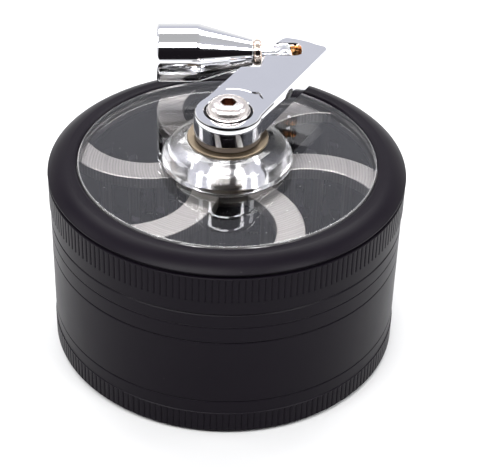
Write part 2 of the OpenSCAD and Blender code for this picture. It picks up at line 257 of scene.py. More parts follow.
def spin_places(r, z, kind, amount, n):
    """One row's points as (part of a turn, radius)."""
    if kind == "cut":
        return [((j + part) / n, r - amount * depth) for j in range(n) for part, depth in GROOVE]
    if kind == "thread":
        phases = [(z / THREAD_PITCH - j / n) % 1 for j in range(n)]
        return [(j / n, r - amount * min(1, max(0, 1.6 - 4 * abs(p - 0.5)))) for j, p in enumerate(phases)]
    return [(j / n, r) for j in range(n)]


def spin_faces(a, b):
    """Faces between two rows. The longer one has as many points as the other or a multiple of it."""
    if len(a) < len(b):
        a, b = b, a
    n, k = len(b), len(a) // len(b)
    if n == 1:
        return [(a[i], a[(i + 1) % k], b[0]) for i in range(k)] if k > 1 else []
    faces = []
    for j in range(n):
        left, right = b[j], b[(j + 1) % n]
        if k == 1:
            faces.append((a[j], a[(j + 1) % n], right, left))
            continue
        for i in range(k):
            p, q = a[j * k + i], a[(j * k + i + 1) % len(a)]
            faces.append((p, q, left if i < k // 2 else right))
        faces.append((a[j * k + k // 2], right, left))
    return faces


def spin(profile, n=KNURLS, closed=True):
    """Solid of revolution. A row is (r, z) or (r, z, kind, amount): "cut" rows carry knurl grooves of that
    depth, "thread" rows a helical groove of that depth. An open profile leaves its two ends unjoined."""
    verts, faces, rings = [], [], []
    for row in profile:
        r, z = row[:2]
        start = len(verts)
        if r < 1e-6:
            verts.append((0, 0, z))
        else:
            kind, amount = row[2:] if len(row) > 2 else ("", 0)
            for part, reach in spin_places(r, z, kind, amount, n):
                verts.append((reach * math.cos(TAU * part), reach * math.sin(TAU * part), z))
        rings.append(list(range(start, len(verts))))
    pairs = list(zip(rings, rings[1:])) + ([(rings[-1], rings[0])] if closed else [])
    for a, b in pairs:
        faces += spin_faces(a, b)
    return verts, faces


def thread_rows(r, z0, z1, depth):
    """Rows of a thread between two heights, which fades in and out."""
    step, fade_length = 0.125, 0.6
    n = round(abs(z1 - z0) / step)
    rows = []
    for i in range(n + 1):
        z = z0 + (z1 - z0) * i / n
        near = min(abs(z - z0), abs(z - z1)) / fade_length
        rows.append((r, z, "thread", depth * min(1, near)))
    return rows


def knurl(z0, z1, crest):
    """Rows of a knurled band, from z0 up to z1."""
    ease, depth = 0.22, 0.15
    return [(BODY, z0), (crest, z0 + ease / 2, "cut", 0.0), (crest, z0 + ease, "cut", depth * 0.75),
            (crest, z0 + 1.4 * ease, "cut", depth), (crest, z1 - 1.4 * ease, "cut", depth),
            (crest, z1 - ease, "cut", depth * 0.75), (crest, z1 - ease / 2, "cut", 0.0), (BODY, z1)]


# ---------------------------------------------------------------- shader nodes
def new_material(name, **values):
    mat = bpy.data.materials.new(name)
    mat.use_nodes = True
    shader = mat.node_tree.nodes["Principled BSDF"]
    for key, value in values.items():
        shader.inputs[key.replace("_", " ")].default_value = value
    return mat, mat.node_tree, shader


def node(tree, kind, inputs, **settings):
    """A new node. An input is a socket to link or a value."""
    made = tree.nodes.new(kind)
    for key, value in settings.items():
        setattr(made, key, value)
    for key, value in inputs.items():
        if isinstance(value, bpy.types.NodeSocket):
            tree.links.new(value, made.inputs[key])
        else:
            made.inputs[key].default_value = value
    return made


def feed(tree, shader, **sources):
    """Links sockets to the shader's inputs."""
    for key, source in sources.items():
        tree.links.new(source, shader.inputs[key.replace("_", " ")])


def maths(tree, operation, *values):
    return node(tree, "ShaderNodeMath", dict(enumerate(values)), operation=operation).outputs["Value"]


def times(tree, a, b):
    return maths(tree, "MULTIPLY", a, b)


def vector_maths(tree, operation, output, *values):
    return node(tree, "ShaderNodeVectorMath", dict(enumerate(values)), operation=operation).outputs[output]


def fade(tree, value, start, end, low=0.0, high=1.0, **settings):
    """Goes from low to high while the value goes from start to end."""
    inputs = {"Value": value, "From Min": start, "From Max": end, "To Min": low, "To Max": high}
    return node(tree, "ShaderNodeMapRange", inputs, **settings).outputs["Result"]


def mix(tree, factor, a, b):
    """Colour a where the factor is 0 and b where it is 1. Each is a socket or (red, green, blue)."""
    a, b = (c if isinstance(c, bpy.types.NodeSocket) else (*c, 1) for c in (a, b))
    return node(tree, "ShaderNodeMix", {"Factor": factor, "A": a, "B": b}, data_type="RGBA").outputs["Result"]


def ramp(tree, source, stops):
    """Colour ramp. A stop is (position, grey) or (position, (red, green, blue))."""
    made = node(tree, "ShaderNodeValToRGB", {"Fac": source})
    elements = made.color_ramp.elements
    while len(elements) < len(stops):
        elements.new(1)
    for element, (at, colour) in zip(elements, stops):
        element.position = at
        element.color = (colour, colour, colour, 1) if isinstance(colour, float) else (*colour, 1)
    return made.outputs["Color"]


def place_of(tree):
    return node(tree, "ShaderNodeTexCoord", {}).outputs["Object"]


def radius_of(tree):
    """Distance from the crank's axis, in metres."""
    flat = vector_maths(tree, "MULTIPLY", "Vector", place_of(tree), (1, 1, 0))
    return vector_maths(tree, "LENGTH", "Value", flat)


def height_of(tree):
    """Height above the floor at rest, in metres."""
    return node(tree, "ShaderNodeSeparateXYZ", {"Vector": place_of(tree)}).outputs["Z"]


def spots(tree, scale, detail=3, rough=0.5, stretch=(1, 1, 1)):
    moved = node(tree, "ShaderNodeMapping", {"Vector": place_of(tree), "Scale": stretch}).outputs["Vector"]
    inputs = {"Vector": moved, "Scale": scale, "Detail": detail, "Roughness": rough}
    return node(tree, "ShaderNodeTexNoise", inputs).outputs["Fac"]


def bump(tree, shader, height, strength, distance):
    inputs = {"Height": height, "Strength": strength, "Distance": distance * MM}
    feed(tree, shader, Normal=node(tree, "ShaderNodeBump", inputs).outputs["Normal"])


def dimmed(colour, share):
    return tuple(c * share for c in colour)


def stain_and_shade(mat, mask, colour):
    """Puts a colour over the material's own where the mask is 1; used for stains and for painted shade."""
    tree, shader = mat.node_tree, mat.node_tree.nodes["Principled BSDF"]
    own = shader.inputs["Base Color"].links[0].from_socket
    feed(tree, shader, Base_Color=mix(tree, mask, own, colour))


# ---------------------------------------------------------------- materials
CHROME_TINT = (0.86, 0.865, 0.89)
WORN_SPOT = (11.9, 22.6, 44.6)             # the far end of the arm's slot


def anodised():
    """Satin black anodising: a slight purple-grey, with fine grain, a few dust specks and faint smears."""
    mat, tree, shader = new_material("satin_black_anodised", Metallic=0.0, IOR=1.17)
    smear = spots(tree, 90, 4, 0.6)
    speck = ramp(tree, spots(tree, 1500, 2), [(0.0, 0.0), (0.76, 0.0), (0.82, 1.0)])
    base = mix(tree, smear, (0.0036, 0.0023, 0.0048), (0.0052, 0.0035, 0.0066))
    feed(tree, shader, Base_Color=mix(tree, speck, base, (0.03, 0.028, 0.03)),
         Roughness=fade(tree, smear, 0, 1, 0.30, 0.42))
    bump(tree, shader, spots(tree, 4200, 2, 0.6, (1, 1, 0.6)), 0.10, 0.02)
    return mat


def chrome(name, tint, roughness, marks=0.04):
    """Polished metal with a faint waviness."""
    mat, tree, shader = new_material(name, Metallic=1.0)
    wave = spots(tree, 220)
    feed(tree, shader, Base_Color=mix(tree, wave, dimmed(tint, 0.96), tint),
         Roughness=fade(tree, wave, 0, 1, roughness, roughness + 0.04))
    bump(tree, shader, wave, marks, 0.05)
    return mat


def worn_and_shaded_chrome():
    """Chrome, worn warm at the far end of its slot, with painted shade in the counterbore and the arrow's
    groove near its hub.
    """
    mat = chrome("arm_chrome", CHROME_TINT, 0.045)
    tree = mat.node_tree
    height = height_of(tree)
    gap = vector_maths(tree, "DISTANCE", "Value", place_of(tree), tuple(c * MM for c in WORN_SPOT))
    near = fade(tree, gap, 2.3 * MM, 1.7 * MM)
    deep = fade(tree, height, 46.0 * MM, 45.7 * MM)
    stain_and_shade(mat, times(tree, near, deep), (0.80, 0.42, 0.16))
    # Painted shade: a near-black base colour within about 8.5 mm of the axis and about 45.7 to 45.9 mm high,
    # on the counterbore's floor and in the arrow's groove.
    close = fade(tree, radius_of(tree), 8.6 * MM, 8.4 * MM)
    below = fade(tree, height, 45.95 * MM, 45.85 * MM)
    above = fade(tree, height, 45.6 * MM, 45.7 * MM)
    stain_and_shade(mat, times(tree, times(tree, below, close), above), (0.05, 0.045, 0.045))
    return mat


def socket_steel():
    """Warm polished steel, dark brown inside the screw's socket."""
    mat = chrome("warm_polished_steel", (0.66, 0.61, 0.59), 0.25, 0.06)
    tree = mat.node_tree
    close = fade(tree, radius_of(tree), 1.47 * MM, 1.42 * MM)
    deep = fade(tree, height_of(tree), 47.9 * MM, 47.7 * MM)
    stain_and_shade(mat, times(tree, close, deep), (0.22, 0.12, 0.085))
    return mat


def machined(name, tint, roughness, pitch, strength, shaded_hub=-1.0):
    """Bare metal with concentric turning marks about the crank's axis, and painted shade inside the given hub
    radius.
    """
    mat, tree, shader = new_material(name, Metallic=1.0)
    radius = radius_of(tree)
    turns = times(tree, radius, TAU / (pitch * MM))
    wave = maths(tree, "SINE", turns)
    noise = {"W": turns, "Scale": 0.13, "Detail": 3}
    uneven = node(tree, "ShaderNodeTexNoise", noise, noise_dimensions="1D").outputs["Fac"]
    ridge = times(tree, fade(tree, wave, -1, 1, 0.25), uneven)
    unshaded_turning = ramp(tree, ridge, [(0.08, dimmed(tint, 0.72)), (0.5, tint)])
    # Painted shade: inside the hub radius the base colour is dimmed to 16 %, for the shade under the window's
    # boss.
    outside = fade(tree, radius, shaded_hub * MM, (shaded_hub + 0.5) * MM)
    feed(tree, shader, Base_Color=mix(tree, outside, dimmed(tint, 0.16), unshaded_turning),
         Roughness=fade(tree, uneven, 0, 1, roughness, roughness + 0.12))
    bump(tree, shader, times(tree, wave, uneven), strength, 0.03)
    return mat


def acrylic():
    """Clear plastic with specks of dust, a boss made slightly hazy by polishing, and a pale matt edge."""
    mat, tree, shader = new_material(
        "clear_acrylic", Base_Color=(0.985, 0.975, 0.985, 1), IOR=1.49,
        Transmission_Weight=1.0, Roughness=0.0)
    dust = ramp(tree, spots(tree, 1300, 2), [(0.0, 0.0), (0.74, 0.0), (0.80, 0.5)])
    radius = radius_of(tree)
    boss = fade(tree, radius, 11.9 * MM, 11.6 * MM, 0.0, 0.10)
    feed(tree, shader, Roughness=maths(tree, "MAXIMUM", dust, boss),
         Transmission_Weight=fade(tree, radius, 25.98 * MM, 26.08 * MM, 1.0, 0.87))
    return mat


def plain(name, colour, roughness, metallic=0.0):
    """A small part's material: slight mottling and a fine grain."""
    mat, tree, shader = new_material(name, Metallic=metallic)
    grain = spots(tree, 900, 3, 0.6)
    feed(tree, shader, Base_Color=mix(tree, grain, dimmed(colour, 0.75), colour),
         Roughness=fade(tree, grain, 0, 1, roughness - 0.05, roughness + 0.08))
    bump(tree, shader, grain, 0.15, 0.02)
    return mat


BLACK = anodised()
CHROME = chrome("polished_chrome", CHROME_TINT, 0.045)
CHROME_ARM = worn_and_shaded_chrome()
CHROME_WARM = socket_steel()
COPPERED = chrome("copper_tinted_chrome", (0.93, 0.78, 0.68), 0.07)
ALUMINIUM = machined("turned_aluminium", (0.36, 0.345, 0.33), 0.38, 0.52, 0.85, 9.4)
BRASS = machined("turned_brass", (0.27, 0.215, 0.15), 0.30, 0.2, 0.25, 5.4)
STEEL = machined("turned_steel", (0.56, 0.55, 0.53), 0.28, 0.25, 0.3)
ACRYLIC = acrylic()
RUBBER = plain("black_rubber", (0.018, 0.018, 0.018), 0.62)
NYLON = plain("brown_nylon", (0.115, 0.092, 0.078), 0.38)
SPRING = plain("spring_steel", (0.42, 0.42, 0.41), 0.32, 1.0)
MESH_STEEL = plain("mesh_wire", (0.60, 0.59, 0.57), 0.30, 1.0)


# ---------------------------------------------------------------- cups
def male_thread(z0, z1):
    return thread_rows(SKIRT - 0.02, z0, z1, THREAD_DEPTH)


def female_thread(z0, z1):
    return thread_rows(BORE + 0.02, z0, z1, -THREAD_DEPTH)


def base_cup():
    profile = fillet([(0, 0), (30.6, 0, 0.1), (31.25, 0.42, 0.2), (BODY, 0.5)], closed=False)
    profile += knurl(0.55, 4.6, 31.42)
    profile += fillet([(BODY, 5), (BODY, BASE_TOP, 0.2), (BORE + 0.35, BASE_TOP, 0.15),
                       (BORE, BASE_TOP - 0.35)], closed=False)
    profile += female_thread(6.7, 3.5)
    profile += fillet([(BORE, 3.4), (CAVITY, 3.4, 0.15), (CAVITY, 1.4, 1.4), (0, 1.4)], closed=False)
    verts, faces = spin(profile, closed=False)
    add_piece("base_cup_turned", verts, faces, "base", ["base_cup"], "anodised_black", BLACK)


def storage_cup():
    ledge, spigot, groove = 24.8, 26.5, 26.8
    profile = fillet([(ledge, 6.3), (spigot, 6.3), (spigot, 3.9, 0.15), (27.7, 3.9, 0.1), (SKIRT, 4.3)],
                     closed=False)
    profile += male_thread(4.35, 6.95)
    profile += fillet([(SKIRT, 7.0), (SKIRT, 7.12), (31.1, 7.12), (BODY, 7.3), (BODY, 19.5),
                       (BODY, STORE_TOP, 0.2), (BORE + 0.35, STORE_TOP, 0.15), (BORE, STORE_TOP - 0.35)],
                      closed=False)
    profile += female_thread(19.8, 15.1)
    profile += fillet([(BORE, 14.95), (CAVITY, 14.95, 0.15), (CAVITY, 8.2), (groove, 8.2), (groove, 7.6),
                       (CAVITY, 7.6), (CAVITY, 7.4, 0.05), (ledge, 7.4, 0.15)], closed=False)
    verts, faces = spin(profile)
    add_piece("storage_cup_turned", verts, faces, "storage", ["storage_cup"], "anodised_black", BLACK)


def drop_hole(shape, x, y):
    """A hole through the chamber's floor with both edges broken. Returns its lowest and highest loop."""
    n, radius, rim, chamfer = 20, 1.4, 1.55, 0.15
    hole, wide = circle(radius, n, x, y), circle(rim, n, x, y)
    rings = [shape.loop(wide, FLOOR_UNDER), shape.loop(hole, FLOOR_UNDER + chamfer),
             shape.loop(hole, FLOOR_TOP - chamfer), shape.loop(wide, FLOOR_TOP)]
    shape.walls(rings)
    return rings[0], rings[-1]


def chamber_cup():
    floor_r, groove, groove_under, groove_top = 25.5, 27.9, 26.1, 27.3
    profile = fillet([(floor_r, FLOOR_UNDER), (27.7, FLOOR_UNDER, 0.1), (SKIRT, 15.8)], closed=False)
    profile += male_thread(15.85, 20.05)
    profile += fillet([(SKIRT, 20.12), (SKIRT, 20.22), (31.1, 20.22), (BODY, 20.4), (BODY, RING_TOP, 0.2),
                       (NECK, RING_TOP), (NECK, groove_under, 0.1), (groove, groove_under),
                       (groove, groove_top), (NECK, groove_top, 0.1), (NECK, NECK_TOP, 0.25),
                       (CAVITY, NECK_TOP, 0.15), (CAVITY, FLOOR_TOP, 0.8), (floor_r, FLOOR_TOP)],
                      closed=False)
    shape = Shape()
    shape.add(*spin(profile, closed=False))
    low_rim, high_rim = list(range(KNURLS)), list(range(len(shape.v) - KNURLS, len(shape.v)))
    holes = []
    for radius, count in ((6, 6), (11.5, 12), (16.5, 18), (21.5, 24)):
        for i in range(count):
            angle = TAU * (i + 0.5) / count
            holes.append(drop_hole(shape, radius * math.cos(angle), radius * math.sin(angle)))
    shape.cap(low_rim, *[low for low, _ in holes])
    shape.cap(high_rim, *[high for _, high in holes])
    add_piece("chamber_cup_turned", shape.v, shape.f, "chamber", ["chamber_cup"], "anodised_black", BLACK)


def tooth(shape, radius, angle, foot, tip):
    """A four-sided tooth from its foot's height to its bevelled tip's."""
    half_width, half_length, bevel, tip_scale = 1.0, 1.7, 0.3, 0.8
    plan = fillet([(-half_width, 0, 0.12), (0, -half_length, 0.18), (half_width, 0, 0.12),
                   (0, half_length, 0.18)], step=30)
    placed = turned([(x + radius, y) for x, y in plan], angle)
    narrow = turned([(x * tip_scale + radius, y * tip_scale) for x, y in plan], angle)
    shape.solid([(placed, foot), (placed, tip - math.copysign(bevel, tip - foot)), (narrow, tip)])


def chamber_teeth():
    shape = Shape()
    for radius, count in ((9, 3), (14, 6), (19, 6), (24, 6)):
        for i in range(count):
            tooth(shape, radius, 36 + i * 360 / count, FLOOR_TOP, 29.0)
    add_piece("chamber_teeth_cut", shape.v, shape.f, "chamber", ["chamber_teeth"], "anodised_black", BLACK)


def lid_ring():
    profile = fillet([(29, RING_TOP), (BODY, RING_TOP, 0.2), (BODY, 25.97, 0.06), (31.04, 26.2, 0.04),
                      (BODY, 26.43, 0.06), (BODY, 28.5)], closed=False)
    profile += knurl(28.95, 33.82, 31.46)
    profile += fillet([(BODY, 33.84), (30.9, 33.92, 0.1), (30.9, 34.62, 0.1), (BEAD, 34.66, 0.06),
                       (BEAD, 34.8)], closed=False)
    # The rounded top starts at the bead, 46 degrees up its own circle.
    dome, dome_cos, dome_sin = 6.5, 0.695, 0.719
    profile += arc(BEAD - dome * dome_cos, 34.84 - dome * dome_sin, dome, 46, 78, 14)
    lip, recess, groove, groove_under = 26.4, 29, 29.5, 32.65
    profile += fillet([(28.2, 36.53), (27.6, 36.56, 1.5), (26.9, 36.47, 0.5), (lip, 36.2, 0.25),
                       (lip, GASKET_TOP, 0.05), (recess, GASKET_TOP), (recess, WINDOW_UNDER),
                       (groove, WINDOW_UNDER), (groove, groove_under), (recess, groove_under)], closed=False)
    verts, faces = spin(profile)
    add_piece("lid_ring_turned", verts, faces, "lid", ["lid_ring"], "anodised_black", BLACK)


def sieve():
    """Woven mesh: two crossing sets of wires that pass over and under each other."""
    pitch, thick, edge, level, sway = 0.66, 0.045, 26.15, 7.5, 0.05
    section = ((thick, 0), (0, thick), (-thick, 0), (0, -thick))
    shape = Shape()
    count = int(edge / pitch)
    for way in (0, 1):
        for k in range(-count, count + 1):
            across = k * pitch
            half = int(math.sqrt(max(0, edge ** 2 - across ** 2)) / pitch)
            if half < 2:
                continue
            sections = []
            for i in range(-half, half + 1):
                z = level + (sway if (i + k + way) % 2 else -sway)
                along = [(i * pitch, across + a, z + b) for a, b in section]
                sections.append([(y, x, z) for x, y, z in along] if way else along)
            shape.wire(sections)
    add_piece("sieve_mesh_woven", shape.v, shape.f, "storage", ["sieve_mesh"], "steel_mesh", MESH_STEEL,
              sharp=80)


# ---------------------------------------------------------------- rings and washers
def open_ring(name, section, radius, z, span, body, nodes):
    """A spring ring with a gap: its section goes from one angle of span to the other, in degrees."""
    steps = 180
    sections = []
    for i in range(steps + 1):
        a = math.radians(span[0] + (span[1] - span[0]) * i / steps)
        sections.append([((radius + p) * math.cos(a), (radius + p) * math.sin(a), z + q) for p, q in section])
    shape = Shape()
    shape.wire(sections)
    add_piece(name, shape.v, shape.f, body, nodes, "spring_steel", SPRING, sharp=50)


def spring_rings():
    open_ring("sieve_clip_wire", circle(0.3, 12), 26.25, 7.9, (14, 346), "storage", ["sieve_clip"])
    w, h, edge = 0.9, 0.4, 0.08
    strip = fillet([(-w, -h, edge), (w, -h, edge), (w, h, edge), (-w, h, edge)], step=30)
    open_ring("window_clip_strip", strip, 28.5, 33.05, (93.2, 446.8), "lid", ["window_clip"])


def lid_o_ring():
    profile = circle(0.5, 20, 28.41, 26.7)
    add_piece("lid_o_ring_round", *spin(profile), "chamber", ["lid_o_ring"], "rubber_black", RUBBER)


def washer(name, r_out, r_in, z0, z1, edge, body, nodes, slot, material):
    profile = fillet([(r_in, z0, edge), (r_out, z0, edge), (r_out, z1, edge), (r_in, z1, edge)], step=20)
    verts, faces = spin(profile, 128)
    add_piece(name, verts, faces, body, nodes, slot, material)


def washers():
    washer("window_gasket_flat", FLANGE_R, 26.7, FLANGE_TOP, GASKET_TOP, 0.05,
           "lid", ["window_gasket"], "rubber_black", RUBBER)
    washer("upper_washer_flat", 5.8, SHAFT, 41.05, ARM_UNDER, 0.12, "crank", ["upper_washer"], "nylon", NYLON)
    washer("lower_washer_flat", 5.6, SHAFT, ROTOR_TOP, 33.4, 0.05, "crank", ["lower_washer"], "nylon", NYLON)
    washer("rotor_washer_flat", 4.6, 2.1, 28.85, 29.45, 0.08, "crank", ["rotor_washer"], "steel", STEEL)


# ---------------------------------------------------------------- window and bush
def window():
    boss = 11.5
    profile = fillet([(BUSH_R, WINDOW_UNDER), (FLANGE_R, WINDOW_UNDER, 0.12), (FLANGE_R, FLANGE_TOP, 0.12),
                      (26.3, FLANGE_TOP, 0.08), (26.3, WINDOW_TOP, 0.34), (boss + 0.4, WINDOW_TOP)],
                     closed=False)
    profile += fillet([(boss + 0.3, WINDOW_TOP), (boss, WINDOW_TOP, 0.15), (boss, 37.25, 0.45),
                       (10.3, 39.2, 2.6), (8.3, 40.3, 1.8), (7.4, BOSS_TOP, 0.4), (BUSH_R, BOSS_TOP)],
                      closed=False, step=6)
    verts, faces = spin(profile, 256)
    add_piece("window_clear", verts, faces, "lid", ["window"], "clear_acrylic", ACRYLIC)


def bearing_bush():
    bore, flange, top = 3.05, 7.1, 41.0
    profile = fillet([(bore, WINDOW_UNDER, 0.1), (BUSH_R, WINDOW_UNDER), (BUSH_R, BOSS_TOP),
                      (flange, BOSS_TOP), (flange, top, 0.15), (bore, top, 0.1)], step=20)
    verts, faces = spin(profile, 128)
    add_piece("bearing_bush_turned", verts, faces, "lid", ["bearing_bush"], "brass", BRASS)


# ---------------------------------------------------------------- rotor and spindle
ROTOR_ARMS = 6
# Each arm follows a circle of radius CURVE about a point beside the axis.
CURVE_X, CURVE_Y, CURVE, CURVE_WIDTH = 14.5, -12.2, 14.4, 4.9
WEB, RIM = 9.6, 26.3                       # the openings' inner and outer radius


def meet(radius, reach):
    """Angle about the axis, in degrees, where an arm's circle of that radius gets as far out as reach."""
    far = math.hypot(CURVE_X, CURVE_Y)
    opening = math.acos((reach ** 2 + far ** 2 - radius ** 2) / (2 * reach * far))
    return math.degrees(math.atan2(CURVE_Y, CURVE_X) + opening)


def arm_side(radius, turn):
    """The side of an arm from the web to the rim, turned about the axis."""
    (cx, cy), = turned([(CURVE_X, CURVE_Y)], turn)
    ends = []
    for reach in (WEB, RIM):
        a = math.radians(meet(radius, reach) + turn)
        ends.append(math.degrees(math.atan2(reach * math.sin(a) - cy, reach * math.cos(a) - cx)))
    sweep = (ends[1] - ends[0] + 180) % 360 - 180
    return arc(cx, cy, radius, ends[0], ends[0] + sweep, 24)


def rotor_windows():
    """The openings between the arms, each as a counterclockwise outline."""
    step = 360 / ROTOR_ARMS
    near, far = CURVE + CURVE_WIDTH / 2, CURVE - CURVE_WIDTH / 2
    outer = arc(0, 0, RIM, meet(near, RIM), meet(far, RIM) + step, 24)[1:-1]
    inner = arc(0, 0, WEB, meet(far, WEB) + step, meet(near, WEB), 12)[1:-1]
    outline = arm_side(near, 0) + outer + arm_side(far, step)[::-1] + inner
    return [turned(outline, step * i) for i in range(ROTOR_ARMS)]


def rotor():
    edge, boss_end = 0.14, 29.45
    levels = (ROTOR_UNDER, ROTOR_UNDER + edge, ROTOR_TOP - edge, ROTOR_TOP)
    shape = Shape()
    low, high = shape.stack(circle(27.2, 240), list(zip(levels, (edge, 0, 0, edge))))
    holes = [shape.stack(outline, list(zip(levels, (-edge, 0, 0, -edge)))) for outline in rotor_windows()]
    foot, tip = shape.stack(circle(6.0), [(ROTOR_UNDER, 0), (boss_end + 0.15, 0), (boss_end, 0.15)])
    bore_low, bore_high = shape.stack(circle(SHAFT), [(boss_end, 0), (ROTOR_TOP, 0)])
    shape.cap(low, foot, *[a for a, _ in holes])
    shape.cap(high, bore_high, *[b for _, b in holes])
    shape.wall(tip, bore_low)
    add_piece("rotor_turned", shape.v, shape.f, "crank", ["rotor"], "bare_aluminium", ALUMINIUM)


def rotor_teeth():
    shape = Shape()
    for radius in (11.5, 16.5, 21.5):
        for i in range(ROTOR_ARMS):
            tooth(shape, radius, meet(CURVE, radius) + i * 360 / ROTOR_ARMS, ROTOR_UNDER, 17.8)
    add_piece("rotor_teeth_cut", shape.v, shape.f, "crank", ["rotor_teeth"], "bare_aluminium", ALUMINIUM)


def spindle():
    """Round shaft with two flats at the top and a tapped hole in each end."""
    foot, tip = 29.45, 43.85
    full, hole, flat = turned(circle(SHAFT), ARM_ANGLE), turned(circle(TAPPED), ARM_ANGLE), flatted()
    shape = Shape()
    shape.solid([
        (hole, 34.5), (hole, foot + 0.15), (inset(full, 0.85), foot), (inset(full, 0.15), foot),
        (full, foot + 0.15), (full, ARM_UNDER), (flat, ARM_UNDER), (flat, tip - 0.15),
        (inset(flat, 0.1), tip), (inset(hole, -0.1), tip), (hole, tip - 0.1), (hole, 38.85)])
    add_piece("spindle_turned", shape.v, shape.f, "crank", ["spindle"], "steel", STEEL)


def screw_thread(shank, way, n):
    """Rings of an M4 screw's thread as (outline, distance below the head), with the head towards way."""
    pitch, depth, first, rise = 0.7, 0.28, 0.3, 0.1
    rings = []
    for k in range(int((shank - 0.5) / rise) + 1):
        h = first + k * rise
        shade = depth * min(1, (h - 0.2) / 0.4, (shank - h) / 0.4)
        ring = []
        for i in range(n):
            phase = (h / pitch - way * i / n) % 1
            r = TAPPED - shade * max(0, 1 - abs(phase - 0.5) * 2.6)
            ring.append((r * math.cos(TAU * i / n), r * math.sin(TAU * i / n)))
        rings.append((ring, h))
    return rings


def socket_screw(name, z, shank, way, nodes, slot, material):
    """Button-head screw with a hexagon socket, its head's underside at z and its head towards way."""
    n, head, radius, across, deep, rim = 96, 2.2, 3.8, 2.5, 1.3, 1.95
    plan = hexagon(across, n)
    dome = [(rim - 0.2, head), (rim, head - 0.02)]
    for degrees in range(8, 90, 8):
        a = math.radians(degrees)
        dome.append((rim + (radius - 0.12 - rim) * math.sin(a), 0.42 + (head - 0.44) * math.cos(a)))
    dome += [(radius, 0.36), (radius, 0.12), (radius - 0.12, 0.0)]
    levels = [(inset(plan, 0.1), head - deep), (plan, head - 0.16), (inset(plan, -0.13), head)]
    levels += [(circle(r, n), h) for r, h in dome]
    levels += [(circle(TAPPED + 0.1, n), 0), (circle(TAPPED, n), -0.1)]
    levels += [(ring, -h) for ring, h in screw_thread(shank, way, n)]
    levels.append((circle(1.6, n), -shank))
    shape = Shape()
    shape.solid([(outline, z + way * h) for outline, h in levels])
    add_piece(name, shape.v, shape.f, "crank", nodes, slot, material)


# ---------------------------------------------------------------- crank arm
PIN_X, SLOT_Y, PIN_Z = 11.05, 21.3, 44.75  # the pin's and the slot's middle, in the slot's own axes
KNOB_UP = 0.6                              # the knob's axis above the pin's


def from_slot(x, y, z):
    (x, y), = turned([(x, y)], SLOT_ANGLE)
    return (x, y, z)


def along_knob(verts):
    """Takes a solid of revolution about Z to the knob's axis: z counts from the hinge pin outwards."""
    return [from_slot(PIN_X - z, SLOT_Y + y, PIN_Z + KNOB_UP + x) for x, y, z in verts]


def across_slot(verts):
    """Takes a solid of revolution about Z to the hinge pin's axis: z is the slot's y."""
    return [from_slot(PIN_X + x, z, PIN_Z + y) for x, y, z in verts]


def arm_outline():
    """The arm from above: round hub, bar, curved end, lug, slot for the knob and step."""
    end = arc(27.6, -4.2, 1.4, -88, -18, 10) + arc(17.2, -1, 11.8, -9, 15, 10)
    end += arc(26.4, 1.6, 2.4, 38, 95, 10)
    hub = arc(0, 0, 6, 71.8, 288.2, 80)
    bar = turned(hub + end, ARM_ANGLE)
    lug, side_far, side_near = turned([end[-1], (14.5, 5.6), (1.87, 5.7)], ARM_ANGLE)
    near_y, far_y, step_y, slot_x, corner = 19.3, 23.3, 15.3, 12.8, 1.1
    slot = [(slot_x, far_y)] + arc(slot_x, far_y - corner, corner, 80, 0, 8)
    slot += arc(slot_x, near_y + corner, corner, 0, -80, 8)
    slot += [(slot_x, near_y), (7.05, near_y), (6.0, step_y)]
    far_wall = turned([(0, far_y), (9, far_y)], SLOT_ANGLE)
    step_wall = turned([(0, step_y), (9, step_y)], SLOT_ANGLE)
    return (bar + [cross(lug, side_far, *far_wall)] + turned(slot, SLOT_ANGLE)
            + [cross(side_far, side_near, *step_wall)])


def arrow_outline():
    """Curved arrow that shows the way to turn, as one outline, clockwise round the hub."""
    middle = [(-0.55, 7.15), (0.6, 7.32), (1.7, 7.22), (2.8, 6.85), (3.8, 6.3), (4.6, 6.05)]
    half_width = 0.21
    left, right = [], []
    for i, p in enumerate(middle):
        a, b = Vector(middle[max(0, i - 1)]), Vector(middle[min(len(middle) - 1, i + 1)])
        d = (b - a).normalized() * half_width
        left.append((p[0] - d.y, p[1] + d.x))
        right.append((p[0] + d.y, p[1] - d.x))
    tip = [(5.25, 6.45), (5.62, 5.9), (5.75, 5.1), (6.1, 4.35), (5.8, 4.2), (5.4, 4.95), (5.2, 5.75),
           (4.6, 5.7)]
    return [*reversed(left[:-1]), *right[:-1], *reversed(tip)]


def drilled(shape, cutter):
    """The shape's vertices and faces with the cutter's solid taken away."""
    blank = clean_object("blank", shape.v, shape.f, 1e-5)
    drill = clean_object("drill", *cutter, 1e-5)
    cut = blank.modifiers.new("cut", "BOOLEAN")
    cut.object, cut.operation, cut.solver = drill, "DIFFERENCE", "EXACT"
    result = blank.evaluated_get(bpy.context.evaluated_depsgraph_get())
    mesh = result.to_mesh()
    verts = [tuple(v.co) for v in mesh.vertices]
    faces = [tuple(p.vertices) for p in mesh.polygons]
    result.to_mesh_clear()
    for obj in (blank, drill):
        bpy.data.objects.remove(obj)
    return verts, faces


